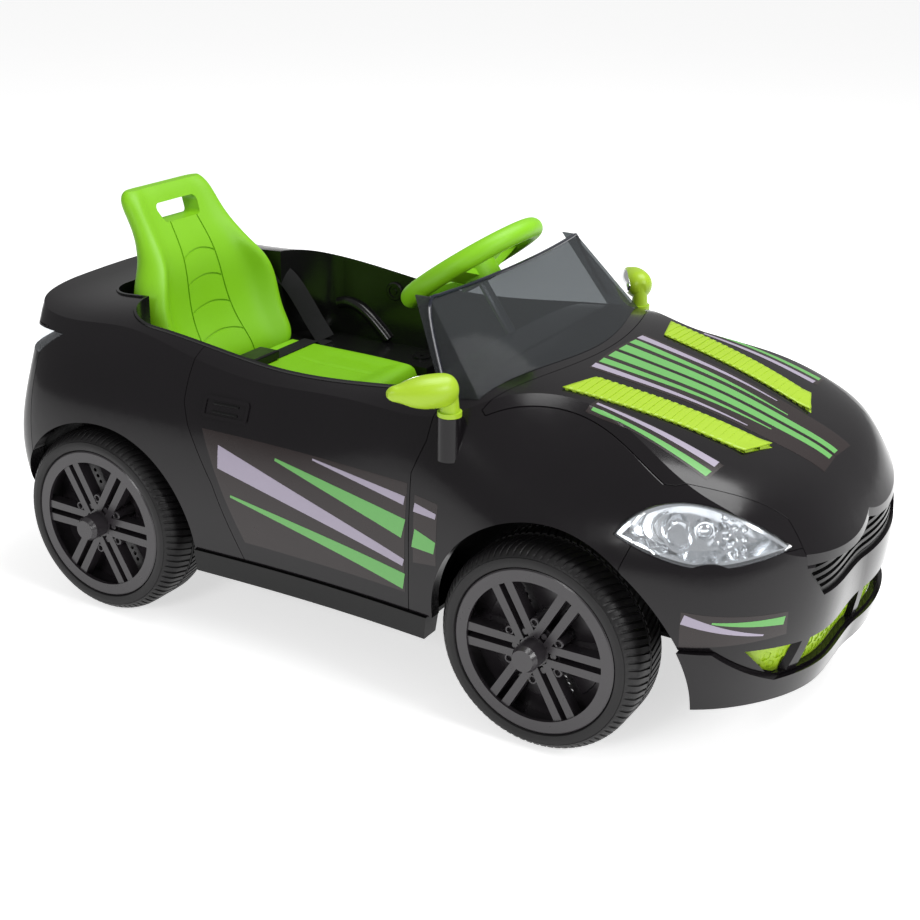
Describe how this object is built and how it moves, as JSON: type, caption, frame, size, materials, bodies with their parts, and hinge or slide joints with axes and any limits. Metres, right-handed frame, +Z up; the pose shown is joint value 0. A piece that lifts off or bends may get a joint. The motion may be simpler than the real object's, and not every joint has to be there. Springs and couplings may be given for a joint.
{
  "type": "ride-on car",
  "caption": "Battery-driven ride-on toy car for one small child: glossy panelled body, open cockpit with green seat, steered front wheels, driven rear wheel, foot pedal and folding mirrors.",
  "frame": {"origin": "on the floor under the middle of the bounding box", "axes": "+X forwards to the nose, +Y to the driver's left, +Z up"},
  "size_m": [1.0351, 0.582, 0.4992],
  "materials": {
    "body_black": "gloss",
    "liner_black": "gloss",
    "pan_black": "matte",
    "screen_smoke": "clear",
    "lime": "satin",
    "seat_green": "satin",
    "lens_clear": "clear",
    "bowl_silver": "polished",
    "webbing": "woven",
    "motor_steel": "satin",
    "steel": "brushed",
    "tyre_black": "matte",
    "rim_black": "satin"
  },
  "bodies": {
    "chassis": {"floor_pan": "pan_black", "cockpit_tub": "liner_black", "footwell_liner": "liner_black", "dashboard": "liner_black", "front_body": "body_black", "rear_body": "body_black", "bonnet": "body_black", "front_bumper": "body_black", "front_splitter": "body_black", "rear_bumper": "body_black", "door_left": "body_black", "door_right": "body_black", "windscreen": "screen_smoke", "upper_grille": "pan_black", "lower_mesh": "lime", "bonnet_vents": "lime", "headlight_lens_left": "lens_clear", "headlight_lens_right": "lens_clear", "headlight_bowl_left": "bowl_silver", "headlight_bowl_right": "bowl_silver", "tail_light_left": "lens_clear", "tail_light_right": "lens_clear", "seat_back": "seat_green", "seat_base": "seat_green", "seat_belt": "webbing", "belt_buckle": "pan_black", "battery": "pan_black", "motor": "motor_steel", "gearbox": "pan_black", "rear_axle": "steel", "front_beam": "pan_black", "charging_socket": "pan_black", "control_box": "pan_black", "tub_screws": "steel", "pedal_bracket": "pan_black"},
    "steering": {"steering_wheel": "seat_green", "steering_pad": "pan_black", "steering_column": "steel"},
    "horn": {"horn_button": "lime"},
    "music": {"music_button": "lime"},
    "tie_rod": {"tie_rod": "steel"},
    "knuckle_left": {"knuckle_left": "steel"},
    "knuckle_right": {"knuckle_right": "steel"},
    "wheel_front_left": {"tyre_front_left": "tyre_black", "rim_front_left": "rim_black", "hub_cap_front_left": "rim_black"},
    "wheel_front_right": {"tyre_front_right": "tyre_black", "rim_front_right": "rim_black", "hub_cap_front_right": "rim_black"},
    "wheel_rear_left": {"tyre_rear_left": "tyre_black", "rim_rear_left": "rim_black", "hub_cap_rear_left": "rim_black"},
    "wheel_rear_right": {"tyre_rear_right": "tyre_black", "rim_rear_right": "rim_black", "hub_cap_rear_right": "rim_black"},
    "pedal": {"pedal": "pan_black"},
    "direction": {"direction_switch": "pan_black"},
    "power": {"power_switch": "pan_black"},
    "mirror_left": {"mirror_left": "lime"},
    "mirror_right": {"mirror_right": "lime"}
  },
  "joints": [
    {"name": "steering_turn", "type": "hinge", "parent": "chassis", "child": "steering", "pos_m": [0.016, 0, 0.439], "axis": [-0.5878, 0, 0.809], "range_deg": [-30, 30]},
    {"name": "horn_press", "type": "slide", "parent": "steering", "child": "horn", "axis": [0.5878, 0, -0.809], "range_m": [0, 0.002], "stiffness_N_per_m": 400},
    {"name": "music_press", "type": "slide", "parent": "steering", "child": "music", "axis": [0.5878, 0, -0.809], "range_m": [0, 0.002], "stiffness_N_per_m": 400},
    {"name": "knuckle_left_steer", "type": "hinge", "parent": "chassis", "child": "knuckle_left", "pos_m": [0.249, 0.16, 0.116], "axis": [0, 0, 1], "range_deg": [-24, 24]},
    {"name": "knuckle_right_steer", "type": "hinge", "parent": "chassis", "child": "knuckle_right", "pos_m": [0.249, -0.16, 0.116], "axis": [0, 0, 1], "range_deg": [-24, 24]},
    {"name": "tie_rod_slide", "type": "slide", "parent": "chassis", "child": "tie_rod", "axis": [0, 1, 0], "range_m": [-0.0204, 0.0204]},
    {"name": "wheel_front_left_spin", "type": "hinge", "parent": "knuckle_left", "child": "wheel_front_left", "pos_m": [0.249, 0.224, 0.116], "axis": [0, 1, 0], "continuous": true},
    {"name": "wheel_front_right_spin", "type": "hinge", "parent": "knuckle_right", "child": "wheel_front_right", "pos_m": [0.249, -0.224, 0.116], "axis": [0, 1, 0], "continuous": true},
    {"name": "wheel_rear_left_spin", "type": "hinge", "parent": "chassis", "child": "wheel_rear_left", "pos_m": [-0.351, 0.224, 0.116], "axis": [0, 1, 0], "continuous": true},
    {"name": "wheel_rear_right_spin", "type": "hinge", "parent": "chassis", "child": "wheel_rear_right", "pos_m": [-0.351, -0.224, 0.116], "axis": [0, 1, 0], "continuous": true},
    {"name": "pedal_press", "type": "hinge", "parent": "chassis", "child": "pedal", "pos_m": [0.096, -0.06, 0.106], "axis": [0, 1, 0], "range_deg": [0, 12], "stiffness_Nm_per_rad": 1.5, "springref_deg": -5.73},
    {"name": "direction_rock", "type": "hinge", "parent": "chassis", "child": "direction", "pos_m": [0.09665, -0.118, 0.318], "axis": [0, 1, 0], "range_deg": [-10, 10]},
    {"name": "power_rock", "type": "hinge", "parent": "chassis", "child": "power", "pos_m": [0.09665, 0.118, 0.318], "axis": [0, 1, 0], "range_deg": [-10, 10]},
    {"name": "mirror_left_fold", "type": "hinge", "parent": "chassis", "child": "mirror_left", "pos_m": [0.129, 0.236, 0.337], "axis": [0, 0, 1], "range_deg": [-25, 25]},
    {"name": "mirror_right_fold", "type": "hinge", "parent": "chassis", "child": "mirror_right", "pos_m": [0.129, -0.236, 0.337], "axis": [0, 0, 1], "range_deg": [-25, 25]}
  ],
  "couplings": [
    {"joint": "knuckle_left_steer", "follows": "steering_turn", "ratio": 0.8},
    {"joint": "knuckle_right_steer", "follows": "steering_turn", "ratio": 0.8},
    {"joint": "tie_rod_slide", "follows": "steering_turn", "m_per_rad": -0.0389}
  ]
}
